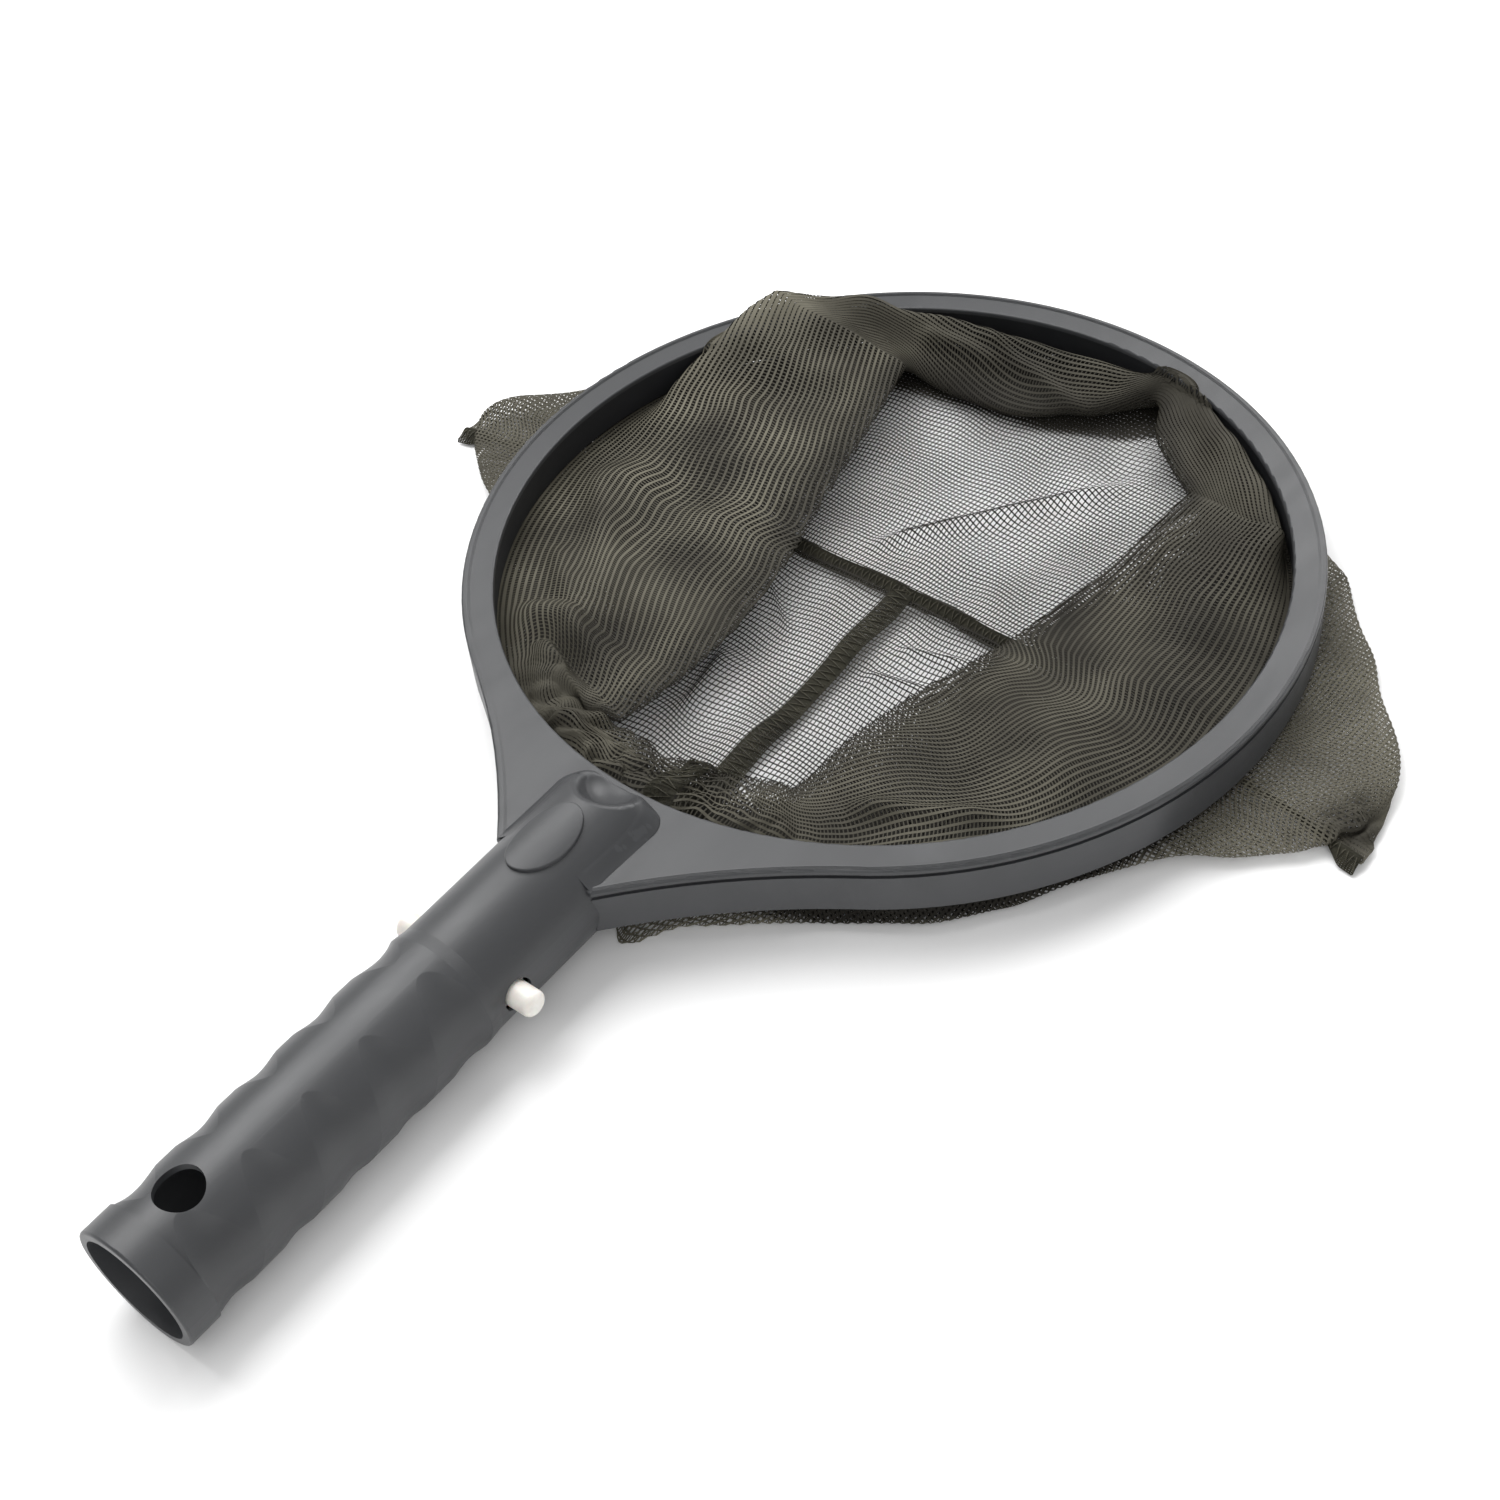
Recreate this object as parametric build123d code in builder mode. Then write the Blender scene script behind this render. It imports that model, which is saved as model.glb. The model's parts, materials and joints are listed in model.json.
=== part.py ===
"""Leaf skimmer net: moulded hoop and socket handle, sprung pole clip and mesh bag.

Frame: origin at the centre of the handle tube's open mouth, tube axis along Y with +Y towards
the hoop, +Z up.  The tube's collar and the bag lie on the plane z = -COLLAR_R.
"""
from build123d import *
import os
from math import cos, radians, sin

# ------------------------------------------------------------------ driving dimensions, mm
# hoop and throat
HOOP_R = 98.0            # outer radius
HOOP_Y = 231.5           # hoop centre along the handle axis
HOOP_Z = 2.65            # height of the rim's top face at the hoop centre
HOOP_TILT = 2.0          # degrees that the hoop dips away from the handle
RIM_INNER_R = 90.6
RIM_T = 1.2
SKIRT_T = 2.0
SKIRT_H = 11.8           # from the rim's top face to the skirt's lower edge
THROAT_Y = -117.5        # end of the throat plate, from the hoop centre
THROAT_HALF_W = 13.0
THROAT_JOIN_X = 54.8     # where the throat leaves the hoop's circle
THROAT_MID = (34.4, -96.2)
EDGE_R = 0.5             # rounding of the rim's edges
GROOVE = 0.6             # depth of the line round the wall under the rim
GROOVE_H = 1.0
BORDER_IN = 0.6          # raised border line, from the outer edge
BORDER_W = 1.3
BORDER_H = 0.3
BORDER_STEPS = 3

# clamp ring, hem and cord, on the hoop's own axis; heights are from the rim's top face
CLAMP_R = 91.2           # inner radius
CLAMP_T = 1.8
CLAMP_TOP = -1.3
CLAMP_BOTTOM = -9.6
HEM_R = 95.1             # inner radius
HEM_T = 0.7
HEM_TOP = -5.4
HEM_BOTTOM = -11.2
CORD_RING_R = 94.05
CORD_R = 0.95
CORD_Z = -4.0

# handle tube
COLLAR_R = 14.5
COLLAR_L = 7.4
COLLAR_EDGE_R = 0.6
CREST_R = 14.0
TUBE_R = 13.6
BORE_R = 12.35
BORE_STEP_Y = 76.0       # beyond here the bore is wider, to give the clip its room
CHAMBER_R = 12.8
POCKET_Y = 120.0         # beyond here only a flat pocket is left, for the clip's bend
POCKET_W = 23.2
POCKET_H = 9.6
POCKET_END = 130.6
GRIP_END = 82.0          # where the scalloped grip ends
GRIP_TAPER = 3.0
TUBE_END = 138.0
END_R = 5.0              # rounding of the tube's blunt end
DISH_AT = (0, 138.7, 22.0)               # middle of the oval hollow in the tube's blunt end
DISH_HALF = (10.5, 11.5, 15.8)
DISH_EDGE_R = 1.6
TUBE_STOP = 133.4        # below the rim the tube stops at the hoop's wall
SCALLOP_DEPTH = 1.0
SCALLOP_FIRST = 13.4
SCALLOP_PITCH = 15.3
SCALLOPS = 5
SCALLOP_LIFT = 10.0      # degrees that each row of scallops sits above the horizontal
HANG_HOLE_R = 5.1
HANG_HOLE_Y = 16.1
BUTTON_Y = 90.2
BUTTON_HOLE_R = 3.7

# oval badge on top of the tube
BADGE_Y = 116.3
BADGE_L = 20.0
BADGE_W = 12.0
BADGE_RISE = 0.8
BADGE_EDGE_R = 0.3

# spring clip and its lock buttons
STRIP_W = 8.0
STRIP_T = 0.8
CLIP_R = 10.6            # middle radius of the bend, and how far out its arms hinge
CLIP_Y = 118.5           # the hinge places, along the tube
ARM_END = 84.0
BEND_GAP = 0.06          # free space between the bend's ends and the rounded arm roots
BUTTON_R = 2.95
BUTTON_TIP = 18.6
BUTTON_TIP_R = 1.3
BUTTON_BASE_R = 3.7
BUTTON_BASE_T = 0.4
RIVET_R = 1.5
RIVET_HEAD_R = 2.3
RIVET_HEAD_T = 0.6

# bag, as it lies collapsed on the surface below the hoop
BAG_FLOOR_T = 1.4
BAG_FLOOR_R = 93.6
BAG_WALL_R = 91.3
BAG_WALL_T = 1.2
BAG_GAP = 0.3            # between the bag's wall and the clamp ring
RIGHT_EAR = [(78, 291), (101, 275), (124, 248), (128.5, 232), (122, 220), (96, 208), (60, 210)]
LEFT_EAR = [(-70, 262), (-100, 252), (-121, 239), (-129.5, 224), (-124, 213), (-100, 207), (-60, 210)]
EAR_ROUND = 4.0
SEAM_T = 0.8
SIDE_SEAM = (2.5, 190.0, 6.0, 78.0)      # middle x, middle y, width, length
BOTTOM_SEAM = (0.0, 234.0, 176.0, 5.0)

TILT = radians(HOOP_TILT)
HOOP = Plane(origin=(0, HOOP_Y, HOOP_Z), x_dir=(1, 0, 0), z_dir=(0, sin(TILT), cos(TILT)))
FLOOR = Plane.XY.offset(-COLLAR_R)
TUBE = Plane.XZ          # its normal points out of the mouth, towards -Y
SIDES = {"left": -1, "right": 1}

os.makedirs("parts", exist_ok=True)


def save(builder, name):
    """Label a finished piece and write it under its own name."""
    builder.part.label = name
    export_step(builder.part, f"parts/{name}.step")


def ring(plane, inner, outer, height):
    """Add an upright ring of the given radii, growing down from the plane."""
    with BuildSketch(plane) as band:
        Circle(outer)
        Circle(inner, mode=Mode.SUBTRACT)
    extrude(band.sketch, amount=-height)


# ------------------------------------------------------------------ hoop and throat
# plan outline: the hoop's circle joined to the throat by two concave arcs
throat_join = (THROAT_JOIN_X, -(HOOP_R**2 - THROAT_JOIN_X**2) ** 0.5)
with BuildSketch() as outline:
    Circle(HOOP_R)
    with BuildLine():
        foot = Line((-THROAT_HALF_W, THROAT_Y), (THROAT_HALF_W, THROAT_Y))
        flare = ThreePointArc(foot @ 1, THROAT_MID, throat_join)
        across = Line(flare @ 1, (-throat_join[0], throat_join[1]))
        ThreePointArc(across @ 1, (-THROAT_MID[0], THROAT_MID[1]), foot @ 0)
    make_face()

with BuildPart() as hoop_rim:
    # flat top of the hoop and throat, with rounded edges
    with BuildSketch(HOOP):
        add(outline.sketch)
        Circle(RIM_INNER_R, mode=Mode.SUBTRACT)
    extrude(amount=-RIM_T)
    rim_top = hoop_rim.faces().filter_by(HOOP).sort_by(Axis.Z)[-1]
    fillet(rim_top.edges(), EDGE_R)
    # raised border line, narrowing upwards in small steps
    for step in range(BORDER_STEPS):
        inset = step * BORDER_W / (2 * BORDER_STEPS)
        with BuildSketch(HOOP):
            add(outline.sketch)
            offset(amount=-BORDER_IN - inset)
            offset(amount=-BORDER_W + 2 * inset, mode=Mode.SUBTRACT)
        extrude(amount=(step + 1) * BORDER_H / BORDER_STEPS)
    # seat for the handle tube, which the tube fills
    with BuildSketch(TUBE):
        Circle(TUBE_R)
    extrude(amount=-TUBE_STOP, mode=Mode.SUBTRACT)
save(hoop_rim, "hoop_rim")

with BuildPart() as hoop_skirt:
    # the neck under the rim is set in, which shows as a fine groove
    with BuildSketch(HOOP.offset(-RIM_T)):
        add(outline.sketch)
        offset(amount=-GROOVE)
        offset(amount=-SKIRT_T, mode=Mode.SUBTRACT)
    extrude(amount=-GROOVE_H)
    with BuildSketch(HOOP.offset(-RIM_T - GROOVE_H)):
        add(outline.sketch)
        offset(amount=-SKIRT_T, mode=Mode.SUBTRACT)
    extrude(amount=-(SKIRT_H - RIM_T - GROOVE_H))
    # the hoop's own wall carries on across the throat
    ring(HOOP.offset(-RIM_T), HOOP_R - SKIRT_T, HOOP_R - GROOVE, SKIRT_H - RIM_T)
    with BuildSketch(TUBE):
        Circle(TUBE_R)
    extrude(amount=-TUBE_STOP, mode=Mode.SUBTRACT)
save(hoop_skirt, "hoop_skirt")

# ------------------------------------------------------------------ clamp ring, hem and cord
with BuildPart() as net_clamp_ring:
    ring(HOOP.offset(CLAMP_TOP), CLAMP_R, CLAMP_R + CLAMP_T, CLAMP_TOP - CLAMP_BOTTOM)
    lower_face = net_clamp_ring.faces().filter_by(HOOP).sort_by(Axis.Z)[0]
    fillet(lower_face.edges(), CLAMP_T / 4)
save(net_clamp_ring, "net_clamp_ring")

with BuildPart() as net_hem:
    ring(HOOP.offset(HEM_TOP), HEM_R, HEM_R + HEM_T, HEM_TOP - HEM_BOTTOM)
save(net_hem, "net_hem")

with BuildPart() as hem_cord:
    with Locations(HOOP.offset(CORD_Z)):
        Torus(CORD_RING_R, CORD_R)
save(hem_cord, "hem_cord")

# ------------------------------------------------------------------ handle tube
# height of each scallop's bottom and of the crests between them, along the grip
waves = []
for scallop in range(SCALLOPS):
    middle = SCALLOP_FIRST + scallop * SCALLOP_PITCH
    waves.append((-SCALLOP_DEPTH, middle))
    waves.append((0, middle + SCALLOP_PITCH / 2))
waves[-1] = (0, GRIP_END)

with BuildPart() as handle_tube:
    # collar, grip, plain stretch and blunt rounded end
    with BuildSketch(Plane.XY) as profile:
        with BuildLine():
            Polyline(
                (0, 0),
                (COLLAR_R, 0),
                (COLLAR_R, COLLAR_L),
                (CREST_R, COLLAR_L),
                (CREST_R, GRIP_END),
                (TUBE_R, GRIP_END + GRIP_TAPER),
                (TUBE_R, TUBE_END),
                (0, TUBE_END),
                close=True,
            )
        make_face()
        fillet(profile.vertices().group_by(Axis.Y)[-1].sort_by(Axis.X)[-1], END_R)
        fillet(profile.vertices().group_by(Axis.Y)[0].sort_by(Axis.X)[-1], COLLAR_EDGE_R)
    revolve(axis=Axis.Y)
    # hollow that runs down from the crest to the rim
    oval = scale(Sphere(1, mode=Mode.PRIVATE), by=DISH_HALF, mode=Mode.PRIVATE)
    add(Pos(*DISH_AT) * oval, mode=Mode.SUBTRACT)
    fillet(handle_tube.edges().filter_by(GeomType.BSPLINE), DISH_EDGE_R)
    # finger scallops: each row is turned about an axis set off sideways, so it fades out
    # towards the tube's top and bottom
    for side in SIDES.values():
        sideways = Vector(side * cos(radians(SCALLOP_LIFT)), 0, sin(radians(SCALLOP_LIFT)))
        shift = 2 * SCALLOP_DEPTH
        turning = Plane(
            origin=-sideways * shift,
            x_dir=sideways,
            z_dir=sideways.cross(Vector(0, 1, 0)),
        )
        with BuildSketch(turning):
            with BuildLine():
                start = Line((CREST_R + shift + 2, COLLAR_L), (CREST_R + shift, COLLAR_L))
                wave = Spline(start @ 1, *[(CREST_R + shift + rise, along) for rise, along in waves])
                Polyline(wave @ 1, (CREST_R + shift + 2, GRIP_END), start @ 0)
            make_face()
        revolve(axis=Axis(turning.origin, (0, 1, 0)), mode=Mode.SUBTRACT)
    # bore, clip chamber and pocket, hanging hole on top and the two button holes
    for radius, start_y, end_y in (
        (BORE_R, 0, BORE_STEP_Y),
        (CHAMBER_R, BORE_STEP_Y, POCKET_Y),
    ):
        with BuildSketch(TUBE.offset(-start_y)):
            Circle(radius)
        extrude(amount=start_y - end_y, mode=Mode.SUBTRACT)
    with BuildSketch(TUBE.offset(-POCKET_Y)):
        Rectangle(POCKET_W, POCKET_H)
    extrude(amount=POCKET_Y - POCKET_END, mode=Mode.SUBTRACT)
    with BuildSketch(Plane.XY):
        with Locations((0, HANG_HOLE_Y)):
            Circle(HANG_HOLE_R)
    extrude(amount=COLLAR_R, mode=Mode.SUBTRACT)
    with BuildSketch(Plane.YZ):
        with Locations((BUTTON_Y, 0)):
            Circle(BUTTON_HOLE_R)
    extrude(amount=COLLAR_R, both=True, mode=Mode.SUBTRACT)
    # room that the hoop's wall and rings need
    with BuildSketch(HOOP):
        Circle(HOOP_R)
    extrude(amount=-2 * COLLAR_R, mode=Mode.SUBTRACT)
    add(hoop_rim.part, mode=Mode.SUBTRACT)
    add(hoop_skirt.part, mode=Mode.SUBTRACT)
save(handle_tube, "handle_tube")

with BuildPart() as oval_badge:
    with BuildSketch(Plane.XY):
        with Locations((0, BADGE_Y)):
            Ellipse(BADGE_W / 2, BADGE_L / 2)
    extrude(amount=2 * TUBE_R)
    with BuildSketch(TUBE):
        Circle(TUBE_R + BADGE_RISE)
        Circle(TUBE_R, mode=Mode.SUBTRACT)
    extrude(amount=-TUBE_END, mode=Mode.INTERSECT)
    outer_face = oval_badge.faces().sort_by(Axis.Z)[-1]
    fillet(outer_face.edges(), BADGE_EDGE_R)
save(oval_badge, "oval_badge")

# ------------------------------------------------------------------ spring clip
with BuildPart() as clip_bend:
    # half ring across the tube, open towards the mouth
    with BuildSketch(Plane.XY.offset(-STRIP_W / 2)):
        with Locations((0, CLIP_Y + BEND_GAP + STRIP_T / 2)):
            Circle(CLIP_R + STRIP_T / 2)
            Circle(CLIP_R - STRIP_T / 2, mode=Mode.SUBTRACT)
            Rectangle(
                4 * CLIP_R, 2 * CLIP_R, align=(Align.CENTER, Align.MAX), mode=Mode.SUBTRACT
            )
    extrude(amount=STRIP_W)
save(clip_bend, "clip_bend")

for name, side in SIDES.items():
    with BuildPart() as clip_arm:
        # straight strip, rounded at the root where it hinges
        with BuildSketch(Plane.XY.offset(-STRIP_W / 2)):
            with Locations((side * CLIP_R, CLIP_Y)):
                Circle(STRIP_T / 2)
                Rectangle(STRIP_T, CLIP_Y - ARM_END, align=(Align.CENTER, Align.MAX))
        extrude(amount=STRIP_W)
        with BuildSketch(Plane.YZ):
            with Locations((BUTTON_Y, 0)):
                Circle(RIVET_R)
        extrude(amount=side * 2 * CLIP_R, mode=Mode.SUBTRACT)
    save(clip_arm, f"clip_arm_{name}")

    with BuildPart() as button:
        # turned pin: rivet head and shank inside the strip, base and rounded pin outside it
        face_in = CLIP_R - STRIP_T / 2
        face_out = CLIP_R + STRIP_T / 2
        with BuildSketch(Plane((0, BUTTON_Y, 0), x_dir=(1, 0, 0), z_dir=(0, 0, 1))) as section:
            with BuildLine():
                Polyline(
                    (side * (face_in - RIVET_HEAD_T), 0),
                    (side * (face_in - RIVET_HEAD_T), RIVET_HEAD_R),
                    (side * face_in, RIVET_HEAD_R),
                    (side * face_in, RIVET_R),
                    (side * face_out, RIVET_R),
                    (side * face_out, BUTTON_BASE_R),
                    (side * (face_out + BUTTON_BASE_T), BUTTON_BASE_R),
                    (side * (face_out + BUTTON_BASE_T), BUTTON_R),
                    (side * BUTTON_TIP, BUTTON_R),
                    (side * BUTTON_TIP, 0),
                    close=True,
                )
            make_face()
            tip = section.vertices().sort_by(Axis.X, reverse=side < 0)[-2:]
            fillet(tip.sort_by(Axis.Y)[-1], BUTTON_TIP_R)
        revolve(axis=Axis((0, BUTTON_Y, 0), (1, 0, 0)))
    save(button, f"button_{name}")

# ------------------------------------------------------------------ bag and its seams
with BuildPart() as net_bag:
    # floor of collapsed net, with an ear of net lying outside the hoop on each side
    with BuildSketch(FLOOR) as floor_outline:
        for ear in (RIGHT_EAR, LEFT_EAR):
            with BuildSketch(mode=Mode.PRIVATE) as corner:
                with BuildLine():
                    Polyline(*ear, close=True)
                make_face()
                fillet(corner.vertices(), EAR_ROUND)
            add(corner.sketch)
        with Locations((0, HOOP_Y)):
            Circle(BAG_FLOOR_R)
    extrude(amount=BAG_FLOOR_T)
    # wall that rises to the clamp ring
    with BuildSketch(FLOOR.offset(BAG_FLOOR_T)):
        with Locations((0, HOOP_Y)):
            Circle(BAG_WALL_R + BAG_WALL_T)
            Circle(BAG_WALL_R, mode=Mode.SUBTRACT)
    extrude(amount=SKIRT_H)
    split(bisect_by=HOOP.offset(CLAMP_BOTTOM - BAG_GAP), keep=Keep.BOTTOM)
save(net_bag, "net_bag")

for name, (x, y, width, length) in {"side_seam": SIDE_SEAM, "bottom_seam": BOTTOM_SEAM}.items():
    with BuildPart() as seam:
        with BuildSketch(FLOOR.offset(BAG_FLOOR_T)):
            with Locations((x, y)):
                Rectangle(width, length)
        extrude(amount=SEAM_T)
    save(seam, name)
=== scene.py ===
"""Leaf skimmer net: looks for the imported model, in metres, in the model's own frame."""
import json
import math

import bpy
import numpy as np
from mathutils import Matrix, Vector


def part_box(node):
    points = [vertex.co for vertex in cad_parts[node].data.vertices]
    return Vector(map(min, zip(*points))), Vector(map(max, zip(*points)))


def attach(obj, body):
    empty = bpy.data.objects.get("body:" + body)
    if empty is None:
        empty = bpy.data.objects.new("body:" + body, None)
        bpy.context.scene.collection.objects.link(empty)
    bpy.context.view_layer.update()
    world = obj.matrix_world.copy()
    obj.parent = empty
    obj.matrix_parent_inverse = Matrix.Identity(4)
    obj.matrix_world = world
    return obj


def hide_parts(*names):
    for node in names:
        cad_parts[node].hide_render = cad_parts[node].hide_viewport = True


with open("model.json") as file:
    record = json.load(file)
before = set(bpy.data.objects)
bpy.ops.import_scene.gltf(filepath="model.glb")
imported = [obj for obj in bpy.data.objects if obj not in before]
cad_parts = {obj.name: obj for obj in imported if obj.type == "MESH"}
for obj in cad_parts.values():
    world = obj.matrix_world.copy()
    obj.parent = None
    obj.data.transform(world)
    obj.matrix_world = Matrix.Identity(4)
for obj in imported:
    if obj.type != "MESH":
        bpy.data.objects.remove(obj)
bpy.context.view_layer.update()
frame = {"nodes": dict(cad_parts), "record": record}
MM = 0.001

# ---------------------------------------------------------------- places read from the frame
tube_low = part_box("handle_tube")[0]
rim_low, rim_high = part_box("hoop_rim")
FLOOR_Z = tube_low.z                     # the surface that the tube and the bag lie on
HOOP_R = (rim_high.x - rim_low.x) / 2
TILT = math.radians(2.0)                 # dip of the hoop away from the handle
HOOP_Z = 2.65 * MM                       # height of the rim's top face at the hoop's middle
HOOP_C = Vector((0, rim_high.y - HOOP_R * math.cos(TILT), HOOP_Z))
SKIRT_H = 11.8 * MM
WHITE = 0.9


# ---------------------------------------------------------------- camera
def make_camera():
    """Long lens, above and to the right of the handle, rolled a little as in the reference view."""
    data = bpy.data.cameras.new("camera")
    data.sensor_width = 36.0
    data.lens = 57.6
    data.clip_start = 0.01
    data.clip_end = 20
    camera = bpy.data.objects.new("camera", data)
    bpy.context.scene.collection.objects.link(camera)
    place = Vector((257.8, -77.5, 377.7)) * MM
    target = Vector((11.2, 166.7, 0.0)) * MM
    roll = math.radians(-8.77)
    turn = (target - place).to_track_quat("-Z", "Y").to_matrix() @ Matrix.Rotation(roll, 3, "Z")
    camera.matrix_world = Matrix.Translation(place) @ turn.to_4x4()
    bpy.context.scene.camera = camera


# ---------------------------------------------------------------- floor and light
def make_floor():
    """A plain pale surface under the object."""
    mesh = bpy.data.meshes.new("floor")
    size = 3.0
    z = FLOOR_Z - 0.0002
    corners = [(-size, -size, z), (size, -size, z), (size, size, z), (-size, size, z)]
    mesh.from_pydata(corners, [], [(0, 1, 2, 3)])
    floor = bpy.data.objects.new("floor", mesh)
    bpy.context.scene.collection.objects.link(floor)
    material = bpy.data.materials.new("floor")
    material.use_nodes = True
    shader = material.node_tree.nodes["Principled BSDF"]
    shader.inputs["Base Color"].default_value = (WHITE, WHITE, WHITE, 1)
    shader.inputs["Roughness"].default_value = 0.9
    shader.inputs["Specular IOR Level"].default_value = 0.1
    mesh.materials.append(material)


def make_lights():
    """A white room with three large soft lamps."""
    world = bpy.data.worlds.new("world")
    world.use_nodes = True
    world.node_tree.nodes["Background"].inputs["Color"].default_value = (1, 1, 1, 1)
    world.node_tree.nodes["Background"].inputs["Strength"].default_value = 0.6
    bpy.context.scene.world = world
    lamps = [
        ("key", (-0.55, 0.3, 0.9), 0.8, 11.0),
        ("back", (-0.1, 1.1, 0.7), 0.6, 6.0),
        ("fill", (0.7, -0.5, 0.9), 0.9, 3.5),
    ]
    for name, place, size, power in lamps:
        data = bpy.data.lights.new(name, "AREA")
        data.size = size
        data.energy = power
        lamp = bpy.data.objects.new(name, data)
        bpy.context.scene.collection.objects.link(lamp)
        lamp.location = place
        lamp.rotation_euler = (HOOP_C - Vector(place)).to_track_quat("-Z", "Y").to_euler()
    bpy.context.scene.view_settings.view_transform = "Standard"


# ---------------------------------------------------------------- materials
def srgb(code):
    """Linear colour of a hex code such as 6a6d70."""
    parts = [int(code[i : i + 2], 16) / 255 for i in (0, 2, 4)]
    return tuple(c / 12.92 if c <= 0.04045 else ((c + 0.055) / 1.055) ** 2.4 for c in parts) + (1,)


class Nodes:
    """Short ways to add and join the nodes of one material."""

    def __init__(self, name, rough, specular=0.5):
        self.material = bpy.data.materials.new(name)
        self.material.use_nodes = True
        self.tree = self.material.node_tree
        self.shader = self.tree.nodes["Principled BSDF"]
        self.shader.inputs["Roughness"].default_value = rough
        self.shader.inputs["Specular IOR Level"].default_value = specular
        self.place = self.tree.nodes.new("ShaderNodeTexCoord").outputs["Object"]

    def join(self, source, target):
        self.tree.links.new(source, target)

    def scaled(self, xyz):
        """Object coordinates stretched by xyz, in repeats per metre."""
        node = self.tree.nodes.new("ShaderNodeMapping")
        node.inputs["Scale"].default_value = xyz
        self.join(self.place, node.inputs["Vector"])
        return node.outputs["Vector"]

    def noise(self, scale, detail=3.0, rough=0.55, vector=None):
        node = self.tree.nodes.new("ShaderNodeTexNoise")
        node.inputs["Scale"].default_value = scale
        node.inputs["Detail"].default_value = detail
        node.inputs["Roughness"].default_value = rough
        self.join(vector or self.place, node.inputs["Vector"])
        return node.outputs["Fac"]

    def ramp(self, fac, stops):
        """Colours at places from 0 to 1."""
        node = self.tree.nodes.new("ShaderNodeValToRGB")
        ramp = node.color_ramp
        while len(ramp.elements) < len(stops):
            ramp.elements.new(0.5)
        for element, (place, colour) in zip(ramp.elements, stops):
            element.position = place
            element.color = colour
        self.join(fac, node.inputs["Fac"])
        return node.outputs["Color"]

    def mix(self, fac, a, b, how="MIX"):
        node = self.tree.nodes.new("ShaderNodeMix")
        node.data_type = "RGBA"
        node.blend_type = how
        for value, place in ((fac, 0), (a, 6), (b, 7)):
            if hasattr(value, "links"):
                self.join(value, node.inputs[place])
            else:
                node.inputs[place].default_value = value
        return node.outputs[2]

    def span(self, fac, low, high):
        """A 0 to 1 value stretched to run from low to high."""
        node = self.tree.nodes.new("ShaderNodeMapRange")
        node.inputs["From Min"].default_value = 0.25
        node.inputs["From Max"].default_value = 0.75
        node.inputs["To Min"].default_value = low
        node.inputs["To Max"].default_value = high
        self.join(fac, node.inputs["Value"])
        return node.outputs["Result"]

    def bump(self, height, distance, strength=1.0, under=None):
        node = self.tree.nodes.new("ShaderNodeBump")
        node.inputs["Distance"].default_value = distance
        node.inputs["Strength"].default_value = strength
        self.join(height, node.inputs["Height"])
        if under is not None:
            self.join(under, node.inputs["Normal"])
        return node.outputs["Normal"]

    def finish(self, colour, rough=None, normal=None):
        self.join(colour, self.shader.inputs["Base Color"])
        if rough is not None:
            self.join(rough, self.shader.inputs["Roughness"])
        if normal is not None:
            self.join(normal, self.shader.inputs["Normal"])
        return self.material


def moulded_plastic(name, dark, light, rough, grain=0.00004):
    """Satin moulded plastic: fine grain, faint flow marks along the part, and a painted highlight on its
    sharp convex edges.
    """
    m = Nodes(name, rough)
    flow = m.noise(1.0, 4, vector=m.scaled((55, 18, 55)))
    colour = m.ramp(flow, [(0.25, srgb(dark)), (0.75, srgb(light))])
    # painted highlight: where the surface is sharply convex (high pointiness) the colour is mixed towards a
    # paler copy, as if the edges caught the light
    edge = m.tree.nodes.new("ShaderNodeNewGeometry").outputs["Pointiness"]
    edge_highlight = m.ramp(edge, [(0.5, (0, 0, 0, 1)), (0.62, (0.35, 0.35, 0.35, 1))])
    pale = tuple(min(1.0, c * 1.6) for c in srgb(light)[:3]) + (1,)
    colour = m.mix(edge_highlight, colour, pale)
    fine = m.noise(5200, 3, 0.6)
    scuffs = m.noise(1.0, 5, 0.6, m.scaled((160, 40, 160)))
    normal = m.bump(fine, grain, 0.5, m.bump(scuffs, 0.00012, 0.25))
    return m.finish(colour, m.span(scuffs, rough - 0.05, rough + 0.08), normal)


def spring_steel():
    """Rolled strip: streaks along the strip, small bright and dull patches."""
    m = Nodes("clip_steel", 0.3)
    m.shader.inputs["Metallic"].default_value = 1.0
    streaks = m.noise(1.0, 4, 0.6, m.scaled((1800, 40, 1800)))
    colour = m.ramp(streaks, [(0.3, srgb("8f8d88")), (0.7, srgb("c9c7c2"))])
    return m.finish(colour, m.span(streaks, 0.22, 0.42), m.bump(streaks, 0.00002, 0.4))


def button_resin():
    """Off-white moulded resin, slightly glossy, with a faint handled stain."""
    m = Nodes("button_plastic", 0.32)
    m.shader.inputs["Subsurface Weight"].default_value = 0.15
    m.shader.inputs["Subsurface Scale"].default_value = 0.001
    stain = m.noise(260, 4)
    colour = m.ramp(stain, [(0.3, srgb("d3cec7")), (0.7, srgb("ebe8e2"))])
    return m.finish(colour, m.span(stain, 0.26, 0.42), m.bump(m.noise(3500), 0.00002, 0.4))


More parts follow.
